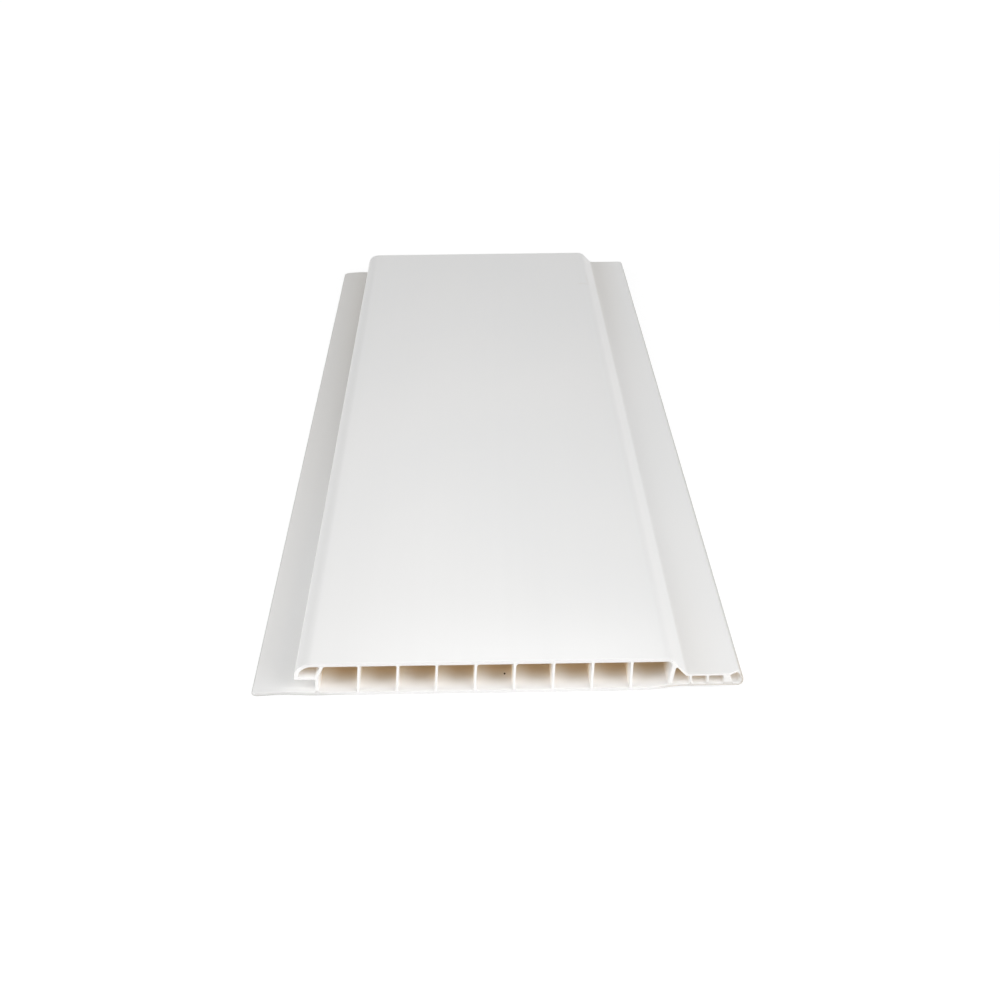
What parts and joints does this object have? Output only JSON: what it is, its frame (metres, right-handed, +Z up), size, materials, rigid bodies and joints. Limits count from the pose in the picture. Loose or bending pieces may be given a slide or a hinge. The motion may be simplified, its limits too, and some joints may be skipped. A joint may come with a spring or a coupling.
{
  "type": "pvc ceiling panel",
  "caption": "Hollow white PVC ceiling plank with a thin nailing flange and groove along one edge and a hollow tongue along the other, open at both cut ends.",
  "frame": {"origin": "middle of the underside of the plank's box, half way along its length", "axes": "+X across the plank from the nailing flange to the tongue, +Y along its length from the near cut end, +Z up out of the flat show face"},
  "size_m": [0.115, 0.4, 0.008],
  "materials": {
    "white_pvc": "satin white, smooth extruded surface"
  },
  "bodies": {
    "root": {"pvc_panel": "white_pvc"}
  },
  "joints": []
}
